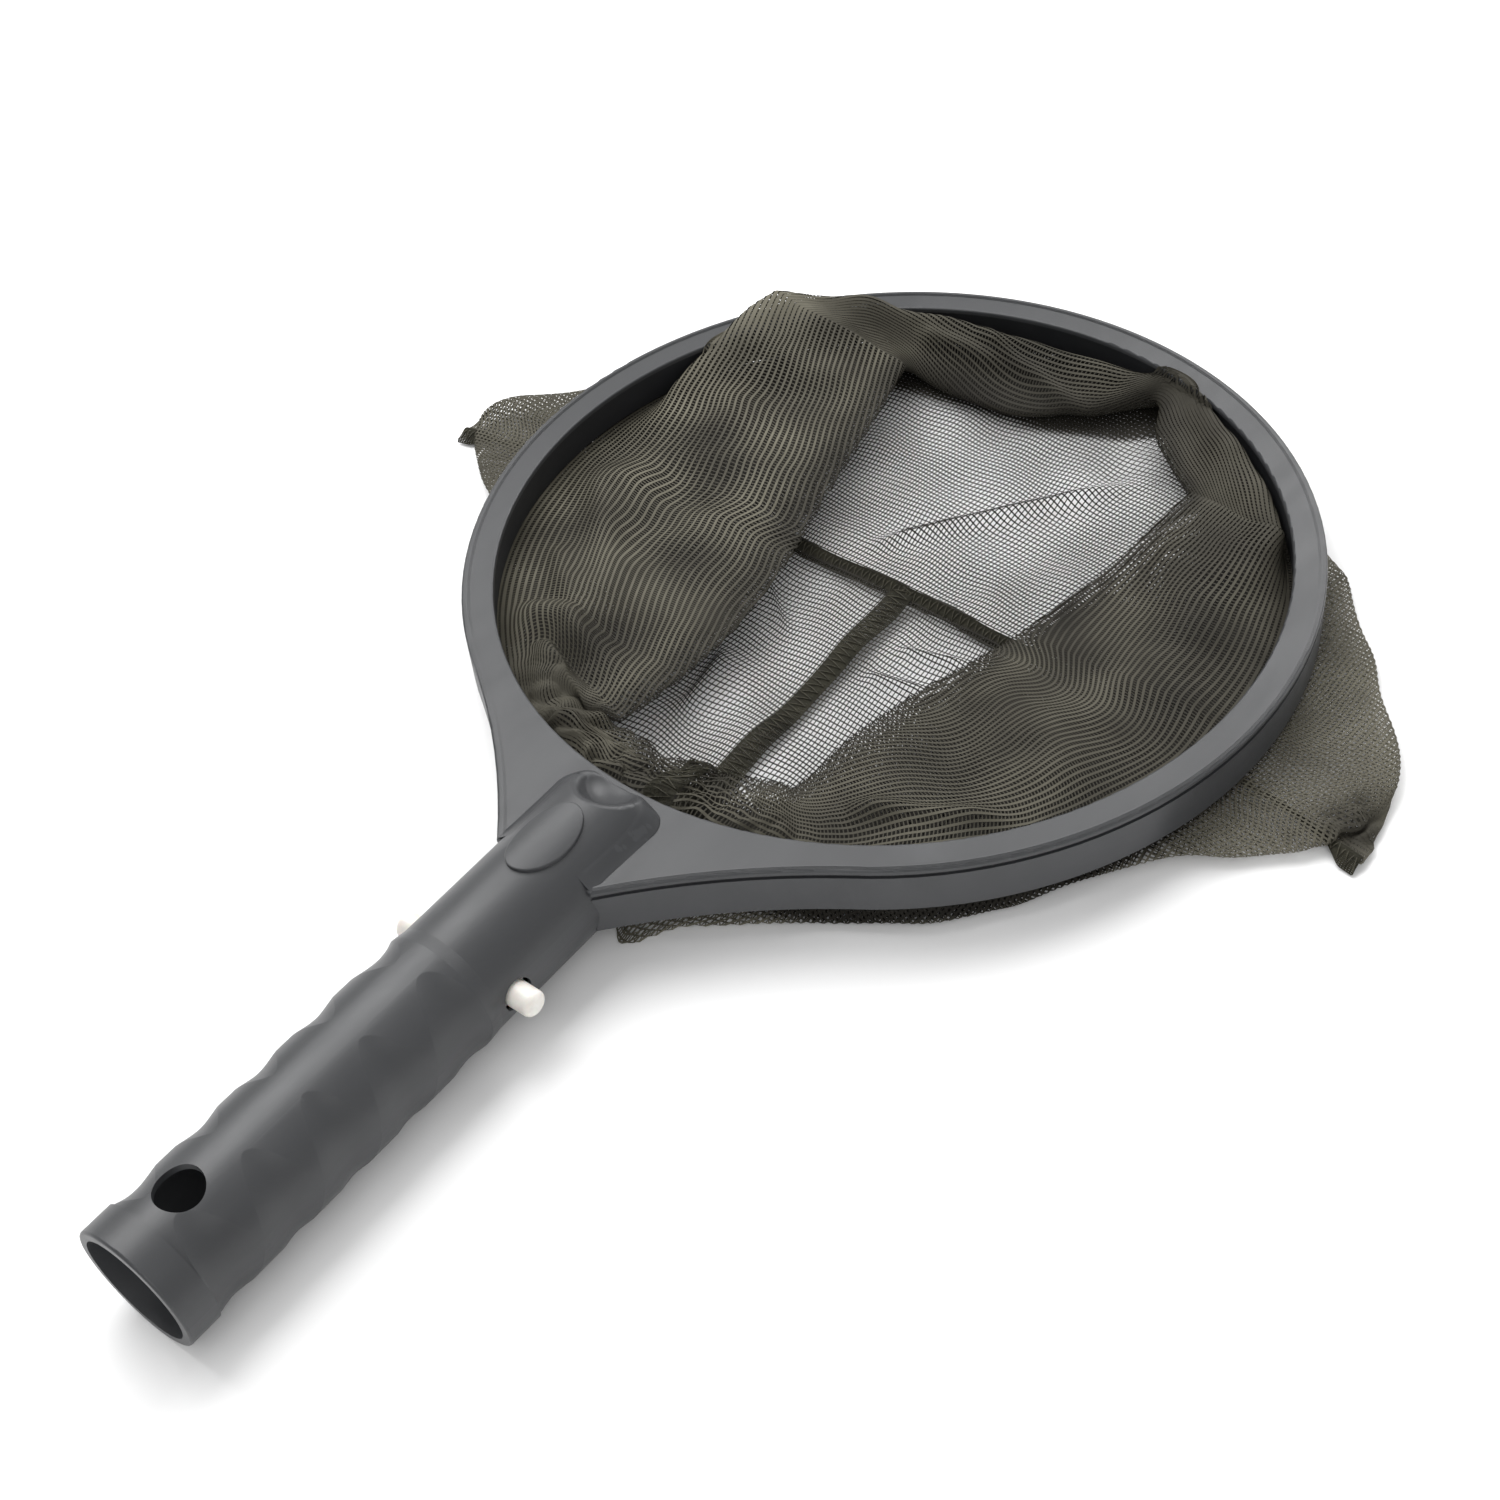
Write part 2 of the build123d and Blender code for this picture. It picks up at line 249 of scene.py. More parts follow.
def net_thread():
    """Olive-grey polyester yarn with painted light and shade: a lighter lit colour where it lies uppermost,
    a darker painted-shade colour in the layers beneath.
    """
    m = Nodes("net_mesh", 0.7, 0.12)
    patches = m.noise(70, 4)
    # per-point share of painted light, from 0 (painted shade) to 1 (lit), set in thread_widths
    painted_light = m.tree.nodes.new("ShaderNodeAttribute")
    painted_light.attribute_name = "painted_light"
    # painted shade colour for the layers beneath, and a lighter painted-light colour for the uppermost
    # threads
    shaded = m.ramp(patches, [(0.3, srgb("262421")), (0.7, srgb("33312c"))])
    lit_colour = m.ramp(patches, [(0.3, srgb("636056")), (0.5, srgb("6f6c61")), (0.72, srgb("7b786c"))])
    colour = m.mix(painted_light.outputs["Fac"], shaded, lit_colour)
    fibres = m.noise(9000, 2)
    colour = m.mix(0.3, colour, m.ramp(fibres, [(0.3, srgb("3a382e")), (0.7, srgb("8d8972"))]), "SOFT_LIGHT")
    return m.finish(colour, m.span(fibres, 0.5, 0.75), m.bump(fibres, 0.00005, 0.7))


def seam_cloth():
    """Folded net sewn over: a close small weave with darker stitch holes, its yarn colour darkened with
    painted shade for a seam lying in shadow.
    """
    m = Nodes("seam_fabric", 0.85, 0.15)
    weave = m.tree.nodes.new("ShaderNodeTexVoronoi")
    weave.inputs["Scale"].default_value = 1500
    m.join(m.place, weave.inputs["Vector"])
    patches = m.noise(120, 4)
    # the yarn's colour with painted shade: dark, as for the rolled seam lying in shadow
    colour = m.ramp(patches, [(0.3, srgb("2b2a23")), (0.7, srgb("47453a"))])
    holes = m.ramp(weave.outputs["Distance"], [(0.1, srgb("5c594a")), (0.6, srgb("1d1c17"))])
    colour = m.mix(0.5, colour, holes, "OVERLAY")
    return m.finish(colour, None, m.bump(weave.outputs["Distance"], 0.0002, 0.8))


def twisted_cord():
    """Twisted polyester cord, its strands lying across the run."""
    m = Nodes("cord_fibre", 0.8, 0.3)
    m.shader.inputs["Sheen Weight"].default_value = 0.3
    strands = m.noise(1500, 2)
    colour = m.ramp(strands, [(0.35, srgb("26251f")), (0.65, srgb("504d40"))])
    return m.finish(colour, None, m.bump(strands, 0.0001, 0.8))


def stitch_thread():
    """Twisted sewing thread of the overlock lines."""
    m = Nodes("stitch_thread", 0.6, 0.3)
    twist = m.noise(4000, 2)
    colour = m.ramp(twist, [(0.3, srgb("211f1a")), (0.7, srgb("4b4839"))])
    return m.finish(colour, None, m.bump(twist, 0.00008, 0.8))


frame_material = moulded_plastic("frame_plastic", "2f3032", "37383a", 0.4)
clamp_material = moulded_plastic("clamp_plastic", "131416", "1b1c1f", 0.5)
steel_material = spring_steel()
button_material = button_resin()
net_material = net_thread()
seam_material = seam_cloth()
cord_material = twisted_cord()
stitch_material = stitch_thread()
FINISHES = {
    "frame_plastic": frame_material,
    "clamp_plastic": clamp_material,
    "clip_steel": steel_material,
    "button_plastic": button_material,
    "net_mesh": net_material,
    "seam_fabric": seam_material,
    "cord_fibre": cord_material,
}


def finish_cad_nodes():
    """Gives every CAD node the material of its slot in the record."""
    for part in frame["record"]["subparts"]:
        node = frame["nodes"][part["node"]]
        for slot in node.material_slots:
            slot.link = "OBJECT"
            slot.material = FINISHES[part["material_slot"]]
        if not node.material_slots:
            node.data.materials.append(FINISHES[part["material_slot"]])


def add_mesh(name, verts, faces, material, smooth=True):
    """A mesh object from points in metres."""
    mesh = bpy.data.meshes.new(name)
    mesh.from_pydata(verts, [], faces)
    mesh.update()
    if smooth:
        mesh.polygons.foreach_set("use_smooth", [True] * len(mesh.polygons))
    mesh.materials.append(material)
    piece = bpy.data.objects.new(name, mesh)
    bpy.context.scene.collection.objects.link(piece)
    return piece


# ---------------------------------------------------------------- the tube's end, blended into the throat
TUBE_R = 13.6
TUBE_END = 138.0
TUBE_OVER = 138.4                        # past here there is no tube at all
END_ROUND = 5.0
BLEND = 3.6                              # how wide the fillet between tube and plate is
DISH_AT = (138.7, 22.0)                  # middle of the oval hollow in the blunt end: y and z
DISH_HALF = (10.5, 11.5, 15.8)
DISH_EDGE = 2.5
THROAT_Y = 114.2                         # near edge of the throat plate
THROAT_HALF_W = 13.0
SKIN_HALF_W = 19.0                       # half the width over which the skin is looked for
RIM_INNER_Y = 140.6


def smooth_max(a, b, width):
    """The larger of two heights, with a round fillet of that width where they cross."""
    h = np.maximum(width - np.abs(a - b), 0) / width
    return np.maximum(a, b) + h * h * width / 4


def make_throat_blend():
    """A skin of the frame's plastic that fills the corner between the tube's hump and the plate."""
    columns, rows = 161, 131
    x, y = np.meshgrid(
        np.linspace(-SKIN_HALF_W, SKIN_HALF_W, columns),
        np.linspace(THROAT_Y, RIM_INNER_Y, rows),
        indexing="ij",
    )
    plate = (HOOP_C.z / MM) - (y - HOOP_C.y / MM) * math.tan(TILT)
    past = np.clip((y - (TUBE_END - END_ROUND)) / (END_ROUND + 0.8), 0, 1)
    radius = TUBE_R - END_ROUND * (1 - np.sqrt(1 - past**2)) - 7 * np.clip(y - TUBE_OVER, 0, 1)
    hump = np.sqrt(np.maximum(radius**2 - x**2, 0)) - 0.9 * np.maximum(np.abs(x) - radius, 0)
    inside = 1 - (x / DISH_HALF[0]) ** 2 - ((y - DISH_AT[0]) / DISH_HALF[1]) ** 2
    bowl = DISH_AT[1] - DISH_HALF[2] * np.sqrt(np.maximum(inside, 0))
    hump = -smooth_max(-hump, -bowl, DISH_EDGE)
    flare = 1 + 0.5 * np.clip((y - 128) / 10, 0, 1)
    top = smooth_max(plate, hump, BLEND * flare)
    # the skin lies only where it fills something, and its border sinks into the solids
    gain = top - np.maximum(plate, hump)
    beside = np.clip((y - THROAT_Y - np.maximum(np.abs(x) - THROAT_HALF_W, 0)) / 2, 0, 1)
    cover = np.clip(gain / 0.12, 0, 1) * beside
    keep = cover > 0
    solid = keep[:-1, :-1] & keep[1:, :-1] & keep[:-1, 1:] & keep[1:, 1:]
    top += 0.14 * cover - 0.08
    verts = np.stack([x, y, top], -1).reshape(-1, 3) * MM
    i, j = np.nonzero(solid)
    a = i * rows + j
    faces = np.stack([a, a + rows, a + rows + 1, a + 1], -1)
    used, where = np.unique(faces, return_inverse=True)
    faces = where.reshape(faces.shape)
    piece = add_mesh("throat_blend", verts[used].tolist(), faces.tolist(), frame_material)
    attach(piece, "frame")


# ---------------------------------------------------------------- the net, as it lies collapsed
# The bag is one rectangle, its top edge held in the hoop and its bottom edge closed by a straight
# seam.  Collapsed on a surface, the seam lies across the middle, its two ends outside the hoop.
# Every depthwise thread runs hem -> crest -> inner fold -> outer fold -> seam, so the lie of the
# whole net is given by those three places at a few directions round the hoop (degrees from +X
# towards +Y, then x, y from the hoop's centre and height z, all in mm).
LIE = [
    # angle, crest near the hem, inner fold, outer fold
    (0, (72, 0, -4.0), (35, 0, -7.0), (125, 7, -11.5)),
    (22, (70, 28, -3.5), (39, 22, -7.0), (106, 36, -12.0)),
    (37, (70, 56, -2.0), (44.5, 57.5, -3.5), (89, 54, -12.2)),
    (41, (69, 59, -5.5), (43, 61, -9.5), (84, 60, -12.4)),
    (52, (54, 71, -1.5), (34, 67, -9.0), (70, 69, -12.8)),
    (64, (37, 81, -0.8), (24, 75, -8.5), (47, 82, -13.0)),
    (76, (19, 88.5, -1.0), (17, 85, -7.0), (28, 93, -13.2)),
    (82, (9, 87, -3.5), (4, 74, -9.5), (14, 96, -13.3)),
    (95, (-14, 83, -2.0), (-14, 64.5, -10.0), (-10, 95.5, -13.3)),
    (108, (-33, 77, 0.5), (-29, 63.5, -10.0), (-34, 90, -13.3)),
    (118, (-48, 72, 3.0), (-40, 64, -8.5), (-54, 81, -13.0)),
    (126, (-60, 67, 4.8), (-42, 63, -7.5), (-66, 72, -12.8)),
    (133, (-71, 62, 5.8), (-42, 61, -6.0), (-77, 60, -12.6)),
    (140, (-77.3, 57, 7.0), (-39.4, 60, -3.5), (-80, 50, -12.4)),
    (147, (-81, 48, 3.2), (-36.5, 50, -3.5), (-90, 38, -12.2)),
    (160, (-84, 26, -1.5), (-32, 32, -4.0), (-106, 22, -12.0)),
    (171, (-80, 10, -3.0), (-28, 15, -4.5), (-119, 9, -11.5)),
    (180, (-77, -3, -4.0), (-23.5, -1.5, -4.5), (-127, -2, -11.0)),
    (189, (-75, -15, -4.0), (-20.5, -15, -4.5), (-119, -16, -10.5)),
    (200, (-72, -28, -4.0), (-18, -30, -4.5), (-103, -27, -10.5)),
    (211, (-67, -41, -4.0), (-17.5, -40, -4.5), (-92, -35, -10.0)),
    (221, (-63, -53, -4.0), (-18, -53, -4.5), (-79, -50, -9.5)),
    (227, (-58, -58, 0.0), (-19, -61, -4.5), (-72, -58, -9.5)),
    (233, (-53, -63, -4.5), (-21.5, -70, -5.5), (-66, -66, -9.5)),
    (239, (-46, -66, 0.5), (-29, -72, -6.5), (-58, -72, -9.5)),
    (246, (-38, -75, -3.5), (-33, -69, -8.0), (-45, -80, -10.0)),
    (255, (-25, -80, 0.5), (-24, -70, -8.5), (-25, -86, -11.0)),
    (263, (-12, -84, -3.0), (-11, -71, -8.5), (-10, -92, -12.8)),
    (272, (3, -83, 0.0), (2, -70, -8.5), (3, -103, -14.0)),
    (277, (12, -82.5, -0.5), (8, -68, -7.8), (13.5, -113, -14.0)),
    (283, (22, -80, -1.5), (15, -65, -7.0), (24, -101.5, -13.4)),
    (293, (33, -75, -4.0), (21, -62, -8.5), (41, -88.3, -13.4)),
    (312, (54, -56, -3.5), (22.5, -46, -7.0), (68, -69.5, -13.2)),
    (330, (67, -36, -4.0), (26, -28, -7.5), (95, -33, -11.8)),
    (345, (71, -17, -4.0), (31, -12, -7.5), (118, -15, -11.8)),
]
SHARP = (37, 41, 140, 221, 233, 246)     # directions where the net is folded rather than curved
# Creases: from, to (x, y), height, half width, and whether in the top layers or on the floor.
CREASES = [
    ((-13, 7), (29, 67), 3.4, 2.8, "low"),
    ((-22, -34), (-19, -58), 1.0, 3.0, "low"),
    ((12, -14), (30, -9), 1.2, 1.6, "low"),
    ((10, -24), (28, -20), 0.9, 2.0, "low"),
    ((-27, -12), (-12, -24), 1.0, 1.8, "low"),
    ((-82, -8), (-40, -52), 2.6, 6.0, "top"),
    ((-72, -36), (-38, -62), 2.4, 4.0, "top"),
    ((-62, 30), (-30, -10), 1.6, 7.0, "top"),
    ((-70, 42), (-40, 46), 1.8, 5.0, "top"),
    ((36, -64), (70, -46), 2.6, 3.0, "top"),
    ((46, 44), (76, 8), 2.0, 6.0, "top"),
    ((40, -20), (80, -30), 1.5, 8.0, "top"),
    ((-30, 78), (8, 72), 2.0, 2.5, "top"),
    ((-44, 70), (-14, 74), 1.6, 2.0, "top"),
]
NET_ROUND = 584.0        # the rectangle's width, round the hoop
NET_DEPTH = 157.0        # hem to bottom seam
LOW_DEPTH = 85.0         # how much of that, from the seam, has its rows at their true pitch
WARP_PITCH = 0.93        # between depthwise threads
WEFT_PITCH = 1.3         # between threads that run round
WARP_W = 0.27
WEFT_W = 0.38
RIB_W = 0.60             # the same thread as drawn in the top layer, wider so that every row shows
TOP_LAYER_LIGHT = [                # painted light on the top layer, by direction; low values paint it darker, in shade
    (0, 0.42),
    (45, 0.42),
    (60, 0.3),
    (110, 0.3),
    (135, 0.8),
    (180, 0.9),
    (220, 0.7),
    (245, 0.5),
    (285, 0.58),
    (310, 0.7),
    (360, 0.42),
]
PRESSED = 2.6            # how much wider threads are drawn under the flaps, where real layers pile up
GATHER = {"top": 0.15, "low": 0.7}       # how far a crease draws the net in from its sides
EAR_TIP = (124.0, -4.0)  # crumpled tip of the right ear, and its size
EAR_TIP_R = 9.0
SEAM_HALF = 128.5        # half the bottom seam's length as it lies
HEM_R = 94.6
INSIDE_R = 89.8          # just clear of the rim's inner edge
OUTSIDE_R = 98.4         # just clear of its outer edge
SKIRT_BAND = (90.5, 99.5)                # radii between which the net passes under the skirt
LOW_Z = -13.4            # height of the layer that lies on the floor
KEY_STEPS = 24           # points between two keys of a depthwise thread
INNER_KEY = 5            # which key is the inner fold
SIDE_SEAM_HALF = 3.0     # half the side seam's width
SIDE_SEAM_GRID = (13, 221)
SEAM_THREADS = (0.34, 0.4)
SEAM_COLUMNS = 17
STITCH_PITCH = 2.2
STITCH_LIFT = 0.3
STITCH_R = 0.16
# The pieces that the net is made in: name, first and last direction round the hoop.
PANELS = (("net_right", -70, 39), ("net_far", 39, 141), ("net_left", 141, 250), ("net_near", 250, 290))
SIDE_SEAM_ANGLE = 272.0
FLOOR_MM = FLOOR_Z / MM
HOOP_Z_MM = HOOP_C.z / MM


def rim_z(y):
    """Height of the rim's top face, in mm, at y from the hoop's centre."""
    return HOOP_Z_MM - y * math.tan(TILT)


def monotone(x, xs, ys, sharp):
    """Smooth curve through (xs, ys) that never overshoots, with corners at `sharp`; ys are vectors."""
    h = np.diff(xs)[:, None]
    slope = np.diff(ys, axis=0) / h
    same = slope[:-1] * slope[1:] > 0
    safe = np.where(same, slope[:-1] + slope[1:], 1)
    inner = np.where(same, 2 * slope[:-1] * slope[1:] / safe, 0)
    tangent = np.vstack([slope[:1], inner, slope[-1:]])
    corner = np.isin(xs % 360, sharp)[:, None]
    leaving = np.where(corner[:-1], slope, tangent[:-1])
    arriving = np.where(corner[1:], slope, tangent[1:])
    i = np.clip(np.searchsorted(xs, x) - 1, 0, len(xs) - 2)
    t = ((x - xs[i]) / h[i, 0])[:, None]
    return (
        (1 + 2 * t) * (1 - t) ** 2 * ys[i]
        + t * (1 - t) ** 2 * h[i] * leaving[i]
        + t * t * (3 - 2 * t) * ys[i + 1]
        - t * t * (1 - t) * h[i] * arriving[i]
    )


def ripple(x, y, seed, size):
    """Soft random waves between about -1 and 1, with bumps about `size` mm apart."""
    rng = np.random.default_rng(seed)
    total = np.zeros_like(x)
    for _ in range(7):
        turn = rng.uniform(0, math.tau)
        rate = math.tau / (size * rng.uniform(0.6, 1.5))
        total += np.sin(rate * (x * math.cos(turn) + y * math.sin(turn)) + rng.uniform(0, math.tau))
    return total / 3.2


def seam_line(x):
    """Place and height of the bottom seam at x, in mm."""
    end = np.clip((np.abs(x) - 40) / 90, 0, 1)
    y = 2.5 - 13.5 * end**1.5
    z = -11.4 - 1.4 * np.clip(np.abs(x) / 60, 0, 1)
    return np.stack([x, y, z], -1)


def net_paths(angles, steps):
    """Points (direction, step, xyz) of the depthwise threads, and how far down each has its inner fold."""
    xs = np.array([row[0] for row in LIE] + [360 + LIE[0][0]], float)
    table = np.array([np.ravel(row[1:]) for row in LIE + [LIE[0]]], float)
    xs = np.concatenate([xs[-3:-1] - 360, xs, xs[1:3] + 360])
    table = np.vstack([table[-3:-1], table, table[1:3]])
    places = monotone(angles % 360, xs, table, SHARP)
    crest, inner, outer = places[:, 0:3], places[:, 3:6], places[:, 6:9]
    turn = np.radians(angles)
    way = np.stack([np.cos(turn), np.sin(turn)], -1)

    def on_ring(radius, below):
        xy = way * radius
        return np.column_stack([xy, rim_z(xy[:, 1]) - below])

    half = angles % 360
    x_seam = np.where(half <= 180, 1 - half / 90, half / 90 - 3) * SEAM_HALF
    seam = seam_line(x_seam)
    seam[:, 1] += np.where(half <= 180, -0.8, -0.4)
    seam[:, 2] += np.where(half <= 180, 1.9, 0.0) * np.clip((45 - np.abs(x_seam)) / 8, 0, 1)

    def between(a, b, share, z_add=0.0):
        p = a * (1 - share) + b * share
        p[:, 2] += z_add
        return p

    top_mid = between(crest, inner, 0.5, 0.4)
    under = between(inner, outer, 0.06)
    under[:, 2] = inner[:, 2] - 1.8
    back_mid = between(inner, outer, 0.5)
    back_mid[:, 2] = np.minimum(0.35 * inner[:, 2] + 0.65 * outer[:, 2], inner[:, 2] - 2.0)
    tuck = between(outer, seam, 0.05)
    tuck[:, 2] = outer[:, 2] - 0.8
    low_mid = between(outer, seam, 0.5)
    low_mid[:, 2] = LOW_Z
    keys = [on_ring(HEM_R, 10.9), on_ring(92.2, 10.3), on_ring(90.0, 9.6)]
    keys += [crest, top_mid, inner, under, back_mid, outer, tuck, low_mid, seam]
    keys = np.stack(keys, 1)
    # smooth curve through the keys, spaced by their own lengths
    chord = np.linalg.norm(np.diff(keys, axis=1), axis=2) ** 0.6
    grad = np.zeros_like(keys)
    left = np.diff(keys, axis=1) / chord[..., None]
    ahead, behind = chord[:, 1:, None], chord[:, :-1, None]
    grad[:, 1:-1] = (left[:, :-1] * ahead + left[:, 1:] * behind) / (ahead + behind)
    grad[:, 0], grad[:, -1] = left[:, 0], left[:, -1]
    fine = []
    t = (np.arange(KEY_STEPS) / KEY_STEPS)[None, :, None]
    for k in range(keys.shape[1] - 1):
        h = chord[:, k][:, None, None]
        p, q = keys[:, k, None], keys[:, k + 1, None]
        m, n = grad[:, k, None] * h, grad[:, k + 1, None] * h
        start = (1 + 2 * t) * (1 - t) ** 2 * p + t * (1 - t) ** 2 * m
        fine.append(start + t * t * (3 - 2 * t) * q - t * t * (1 - t) * n)
    fine = np.concatenate(fine + [keys[:, -1:]], 1)
    steps_long = np.linalg.norm(np.diff(fine, axis=1), axis=2)
    run = np.concatenate([np.zeros((len(angles), 1)), np.cumsum(steps_long, 1)], 1)
    # rows keep their pitch near the seam, and share out what is left of the path above it
    even = np.linspace(0, 1, steps)
    low_share = 1 - LOW_DEPTH / NET_DEPTH
    out = np.empty((len(angles), steps, 3))
    fold_at = np.empty(len(angles))
    for i in range(len(angles)):
        whole = run[i, -1]
        stations = (0, whole - LOW_DEPTH, whole)
        fold_at[i] = np.interp(run[i, KEY_STEPS * INNER_KEY], stations, (0, low_share, 1))
        rows_at = np.interp(even, (0, low_share, 1), stations)
        for axis in range(3):
            out[i, :, axis] = np.interp(rows_at, run[i], fine[i, :, axis])
    return out, fold_at


def near_tip(x, y):
    """How near a point is to the crumpled tip of the right ear, from 0 to 1."""
    return np.exp(-((x - EAR_TIP[0]) ** 2 + (y - EAR_TIP[1]) ** 2) / EAR_TIP_R**2)


def crease(points, start, end, height, half_width, gather):
    """How far a small gathered crease moves each point: a ridge that draws the net in from its sides."""
    start, end = np.array(start, float), np.array(end, float)
    way = (end - start) / np.linalg.norm(end - start)
    side = np.array([-way[1], way[0]])
    away = points[..., :2] - start
    along = (away @ way) / np.linalg.norm(end - start)
    across = away @ side
    inside = np.clip(along / 0.15, 0, 1) * np.clip((1 - along) / 0.3, 0, 1)
    ridge = inside * np.exp(-((across / half_width) ** 2))
    wide = inside * np.exp(-((across / (2.2 * half_width)) ** 2))
    pull = -gather * half_width * np.tanh(across / half_width) * wide
    return np.concatenate([pull[..., None] * side, (height * ridge)[..., None]], -1)


def settle(points, angles, fold_at):
    """Ruffle the net, then keep it above the floor and clear of the hoop."""
    x, y = points[..., 0].copy(), points[..., 1].copy()
    share = np.linspace(0, 1, points.shape[1])[None, :]
    top = np.clip(share / 0.08, 0, 1) * np.clip((fold_at[:, None] + 0.06 - share) / 0.06, 0, 1)
    low = 1 - np.clip((fold_at[:, None] + 0.1 - share) / 0.1, 0, 1)
    low = low * np.clip((1 - share) / 0.05, 0, 1)
    calm = np.clip((fold_at[:, None] - share) / (0.5 * fold_at[:, None]), 0, 1)
    loose = top * np.minimum(calm, np.clip(share / (0.5 * fold_at[:, None]), 0, 1))
    points[..., 2] += loose * (1.3 * ripple(x, y, 3, 34) + 0.5 * ripple(x, y, 4, 13))
    points[..., 2] += low * 0.35 * ripple(x, y, 5, 26)
    points[..., 0] += loose * (1.1 * ripple(x, y, 6, 44) + 0.15 * ripple(x, y, 8, 15))
    points[..., 1] += loose * (1.1 * ripple(x, y, 7, 44) + 0.15 * ripple(x, y, 9, 15))
    # the narrow band by the throat and the tip of the right ear are crumpled
    throat = np.exp(-(((angles % 360)[:, None] - 262) / 24) ** 2)
    crumpled = top * throat * np.clip(share / 0.06, 0, 1) + 0.8 * low * near_tip(x, y)
    points[..., 0] += crumpled * 1.0 * ripple(x, y, 12, 9)
    points[..., 1] += crumpled * 1.0 * ripple(x, y, 13, 9)
    points[..., 2] += crumpled * 1.8 * np.abs(ripple(x, y, 14, 8))
    points[..., 0] += low * 0.7 * ripple(x, y, 10, 30)
    points[..., 1] += low * 0.7 * ripple(x, y, 11, 24)
    where = {"top": top, "low": low}
    for start, end, height, half_width, layer in CREASES:
        lift = crease(points, start, end, height, half_width, GATHER[layer])
        points += where[layer][..., None] * lift
    radius = np.hypot(points[..., 0], points[..., 1])
    first = share < fold_at[:, None]
    above = rim_z(points[..., 1])
    # over the rim or inside it, never through it
    in_rim = first & (radius > INSIDE_R) & (radius < OUTSIDE_R) & (share > 0.03)
    in_rim &= points[..., 2] < above + 0.3
    on_top = in_rim & (points[..., 2] > above - 1.5)
    points[..., 2] = np.where(on_top, above + 0.3, points[..., 2])
    inward = np.where(in_rim & ~on_top, INSIDE_R / radius, 1.0)
    points[..., 0] *= inward
    points[..., 1] *= inward
    skirt = above - SKIRT_H / MM - 0.5
    beneath = (radius > SKIRT_BAND[0]) & (radius < SKIRT_BAND[1]) & ~first
    points[..., 2] = np.where(beneath, np.minimum(points[..., 2], skirt), points[..., 2])
    points[..., 2] = np.maximum(points[..., 2], FLOOR_MM + 0.25)
    return points


def directions(points):
    """Unit directions down the columns, across them, and square to the surface."""
    along = np.gradient(points, axis=1)
    across = np.gradient(points, axis=0)
    along /= np.linalg.norm(along, axis=2, keepdims=True) + 1e-9
    across /= np.linalg.norm(across, axis=2, keepdims=True) + 1e-9
    normal = np.cross(across, along)
    normal /= np.linalg.norm(normal, axis=2, keepdims=True) + 1e-9
    return along, across, normal


def thread_widths(points, angles, fold_at):
    """Width of the warp and weft threads at each grid point, in mm, and how much painted light they carry
    (the rest is painted shade).
    """
    share = np.linspace(0, 1, points.shape[1])[None, :]
    fold = fold_at[:, None]
    top = np.clip((fold + 0.02 - share) / 0.04, 0, 1)
    # painted shade: the top layer darkens over its last few mm before the inner fold, down to 0.35
    turned = np.clip((fold - 0.01 - share) / 0.04, 0.35, 1)
    x, y = points[..., 0], points[..., 1]
    patches = 0.82 + 0.32 * ripple(x, y, 31, 32)
    # painted light of the top layer: its direction's value from the table, times random patches
    bright = top * turned * patches * np.interp(angles % 360, *zip(*TOP_LAYER_LIGHT))[:, None]
    radius = np.hypot(x, y)
    at_fold = np.abs(share - fold).argmin(1)
    fold_radius = radius[np.arange(len(radius)), at_fold][:, None]
    under = np.clip((radius - fold_radius - 1) / 3, 0, 1) * np.clip((97 - radius) / 4, 0, 1)
    outside = np.clip((radius - 96) / 3, 0, 1) * (1 - top)
    left_ear = x < 0
    tip = near_tip(x, y)
    denser = outside * np.where(left_ear, 0.6, 0.25) + tip
    denser += 0.7 * top * np.clip((radius - 84) / 8, 0, 1)
    denser += 0.05 * (1 - top) * np.clip((y - 2) / 3, 0, 1)
    pressed = 1 + (PRESSED - 1) * under * (1 - top) + denser
    # painted light on the ears outside the hoop: less on the left ear and on the crumpled tip
    ear = outside * np.where(left_ear, 0.5, 0.95) * (1 - 0.8 * tip)
    warp_light = np.maximum(0.6 * bright, 0.9 * ear)
    weft_light = np.maximum(bright, ear)
    weft_w = (WEFT_W + (RIB_W - WEFT_W) * top) * pressed
    return (WARP_W * pressed, weft_w), (warp_light, weft_light)


def weave(name, points, widths, material, painted_light=(0.0, 0.0), lift=0.06):
    """Mesh of crossing thread ribbons over a grid of points (columns along the warp), in mm."""
    along, across, normal = directions(points)
    verts, faces, lit_shares = [], [], []
    count = 0
    for turned, side, raised in ((0, across, 0.0), (1, along, lift)):
        width = np.broadcast_to(widths[turned], points.shape[:2])[..., None]
        base = points + normal * raised
        pair = np.stack([base - side * width / 2, base + side * width / 2], 2)
        lit_share = np.repeat(np.broadcast_to(painted_light[turned], points.shape[:2])[..., None], 2, 2)
        if turned:
            pair, lit_share = pair.swapaxes(0, 1), lit_share.swapaxes(0, 1)
        lit_shares.append(lit_share.reshape(-1))
        n, m = pair.shape[0], pair.shape[1]
        verts.append(pair.reshape(-1, 3))
        i, j = np.meshgrid(np.arange(n), np.arange(m - 1), indexing="ij")
        a = count + (i * m + j) * 2
        faces.append(np.stack([a, a + 1, a + 3, a + 2], -1).reshape(-1, 4))
        count += n * m * 2
    piece = placed(name, np.concatenate(verts), np.concatenate(faces), material)
    # per-point share of painted light for the thread material: 1 lit, 0 in painted shade
    mark = piece.data.attributes.new("painted_light", "FLOAT", "POINT")
    mark.data.foreach_set("value", np.concatenate(lit_shares).astype(np.float32))
    return piece


